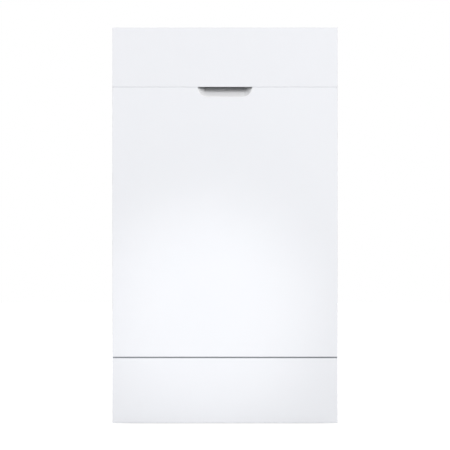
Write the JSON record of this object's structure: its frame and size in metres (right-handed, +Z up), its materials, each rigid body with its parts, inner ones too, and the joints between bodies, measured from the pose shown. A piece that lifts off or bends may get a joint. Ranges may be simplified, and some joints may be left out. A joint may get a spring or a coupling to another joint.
{
  "type": "dishwasher",
  "caption": "Slimline built-under dishwasher with a plain white front, pocket handle, drop-down door, wire racks, spray arms and hidden top-edge controls.",
  "frame": {"origin": "centre of the footprint on the floor", "axes": "+X to the right seen from the front, +Y to the rear, +Z up; the door faces -Y"},
  "size_m": [0.448, 0.57, 0.79],
  "materials": {
    "white_paint": "smooth white enamel",
    "white_plastic": "satin white moulding",
    "strip_plastic": "pale grey moulding",
    "stainless": "satin stainless sheet",
    "galvanised": "zinc plated sheet",
    "grey_plastic": "grey moulding",
    "cap_plastic": "blue moulding",
    "button_plastic": "grey key caps",
    "coated_wire": "nylon coated wire",
    "rubber": "black moulded rubber",
    "felt": "felt mat",
    "board": "green circuit board",
    "window": "dark window",
    "motor_metal": "motor can"
  },
  "bodies": {
    "cabinet": {"base_tray": "grey_plastic", "plinth": "white_paint", "right_side_panel": "white_paint", "left_side_panel": "white_paint", "rear_panel": "galvanised", "top_panel": "white_paint", "front_crossrail": "galvanised", "counter_brackets": "galvanised", "tub_wrap": "stainless", "tub_rear_wall": "stainless", "tub_floor": "stainless", "tub_gasket": "rubber", "insulation_blanket": "felt", "hinge_brackets": "galvanised", "hinge_pins": "galvanised", "door_springs": "galvanised", "latch_strike": "stainless", "rack_rails": "galvanised", "sump": "grey_plastic", "fine_filter": "stainless", "circulation_pump": "grey_plastic", "pump_motor": "motor_metal", "drain_pump": "grey_plastic", "drain_outlet": "rubber", "spray_feed_pipe": "grey_plastic", "ceiling_sprayer": "grey_plastic", "inlet_valve": "grey_plastic", "mains_inlet": "grey_plastic"},
    "door": {"door_outer_panel": "white_paint", "fascia": "white_plastic", "handle_pocket": "white_plastic", "door_inner_panel": "stainless", "door_insulation": "felt", "control_strip": "strip_plastic", "control_board": "board", "display_window": "window", "dispenser_body": "grey_plastic", "hinge_arms": "galvanised", "latch_housing": "grey_plastic"},
    "upper_rack": {"upper_rack": "coated_wire", "upper_feed_tube": "grey_plastic"},
    "lower_rack": {"lower_rack": "coated_wire", "cutlery_basket": "grey_plastic"},
    "latch_hook": {"latch_hook": "grey_plastic"},
    "dispenser_lid": {"dispenser_lid": "grey_plastic"},
    "rinse_aid_cap": {"rinse_aid_cap": "cap_plastic"},
    "button_power": {"button_power": "button_plastic"},
    "button_program": {"button_program": "button_plastic"},
    "button_start": {"button_start": "button_plastic"},
    "upper_runners": {"upper_runners": "galvanised"},
    "upper_spray_arm": {"upper_spray_arm": "grey_plastic"},
    "wheels_front": {"wheels_front": "grey_plastic"},
    "wheels_middle": {"wheels_middle": "grey_plastic"},
    "wheels_rear": {"wheels_rear": "grey_plastic"},
    "lower_spray_arm": {"lower_spray_arm": "grey_plastic"},
    "coarse_filter": {"coarse_filter": "grey_plastic"},
    "pump_impeller": {"pump_impeller": "grey_plastic"},
    "foot_front_left": {"foot_front_left": "grey_plastic"},
    "foot_front_right": {"foot_front_right": "grey_plastic"},
    "foot_rear": {"foot_rear": "grey_plastic"}
  },
  "joints": [
    {"name": "door_hinge", "type": "hinge", "parent": "cabinet", "child": "door", "pos_m": [0, -0.271, 0.149], "axis": [1, 0, 0], "range_deg": [0, 90], "stiffness_Nm_per_rad": 14, "deforming": ["door_springs"]},
    {"name": "latch_hook_pivot", "type": "hinge", "parent": "door", "child": "latch_hook", "pos_m": [0, -0.271, 0.77], "axis": [-1, 0, 0], "range_deg": [0, 14], "stiffness_Nm_per_rad": 0.3},
    {"name": "dispenser_lid_hinge", "type": "hinge", "parent": "door", "child": "dispenser_lid", "pos_m": [0, -0.231, 0.4005], "axis": [-1, 0, 0], "range_deg": [0, 100]},
    {"name": "rinse_aid_cap_turn", "type": "hinge", "parent": "door", "child": "rinse_aid_cap", "pos_m": [0.04, -0.24, 0.442], "axis": [0, 1, 0], "range_deg": [0, 90]},
    {"name": "button_power_press", "type": "slide", "parent": "door", "child": "button_power", "axis": [0, 0, -1], "range_m": [0, 0.0012], "stiffness_N_per_m": 400},
    {"name": "button_program_press", "type": "slide", "parent": "door", "child": "button_program", "axis": [0, 0, -1], "range_m": [0, 0.0012], "stiffness_N_per_m": 400},
    {"name": "button_start_press", "type": "slide", "parent": "door", "child": "button_start", "axis": [0, 0, -1], "range_m": [0, 0.0012], "stiffness_N_per_m": 400},
    {"name": "upper_runner_slide", "type": "slide", "parent": "cabinet", "child": "upper_runners", "axis": [0, -1, 0], "range_m": [0, 0.2]},
    {"name": "upper_rack_slide", "type": "slide", "parent": "upper_runners", "child": "upper_rack", "axis": [0, -1, 0], "range_m": [0, 0.2]},
    {"name": "upper_spray_arm_spin", "type": "hinge", "parent": "upper_rack", "child": "upper_spray_arm", "pos_m": [0, 0.016, 0.485], "axis": [0, 0, 1], "continuous": true},
    {"name": "lower_rack_slide", "type": "slide", "parent": "cabinet", "child": "lower_rack", "axis": [0, -1, 0], "range_m": [0, 0.42]},
    {"name": "wheels_front_roll", "type": "hinge", "parent": "lower_rack", "child": "wheels_front", "pos_m": [0, -0.125, 0.213], "axis": [1, 0, 0], "continuous": true},
    {"name": "wheels_middle_roll", "type": "hinge", "parent": "lower_rack", "child": "wheels_middle", "pos_m": [0, -0.058, 0.213], "axis": [1, 0, 0], "continuous": true},
    {"name": "wheels_rear_roll", "type": "hinge", "parent": "lower_rack", "child": "wheels_rear", "pos_m": [0, 0.165, 0.213], "axis": [1, 0, 0], "continuous": true},
    {"name": "lower_spray_arm_spin", "type": "hinge", "parent": "cabinet", "child": "lower_spray_arm", "pos_m": [0, 0.016, 0.214], "axis": [0, 0, 1], "continuous": true},
    {"name": "coarse_filter_turn", "type": "hinge", "parent": "cabinet", "child": "coarse_filter", "pos_m": [0.072, 0.016, 0.15], "axis": [0, 0, 1], "range_deg": [0, 90]},
    {"name": "pump_impeller_spin", "type": "hinge", "parent": "cabinet", "child": "pump_impeller", "pos_m": [0.034, 0.155, 0.125], "axis": [0, 1, 0], "continuous": true},
    {"name": "foot_front_left_screw", "type": "slide", "parent": "cabinet", "child": "foot_front_left", "axis": [0, 0, -1], "range_m": [0, 0.05]},
    {"name": "foot_front_right_screw", "type": "slide", "parent": "cabinet", "child": "foot_front_right", "axis": [0, 0, -1], "range_m": [0, 0.05]},
    {"name": "foot_rear_screw", "type": "slide", "parent": "cabinet", "child": "foot_rear", "axis": [0, 0, -1], "range_m": [0, 0.05]}
  ],
  "couplings": [
    {"joint": "upper_runner_slide", "follows": "door_hinge", "m_per_rad": 0.1273},
    {"joint": "upper_rack_slide", "follows": "door_hinge", "m_per_rad": 0.1273},
    {"joint": "lower_rack_slide", "follows": "door_hinge", "m_per_rad": 0.095},
    {"joint": "wheels_front_roll", "follows": "door_hinge", "ratio": 5.5882},
    {"joint": "wheels_middle_roll", "follows": "door_hinge", "ratio": 5.5882},
    {"joint": "wheels_rear_roll", "follows": "door_hinge", "ratio": 5.5882}
  ]
}
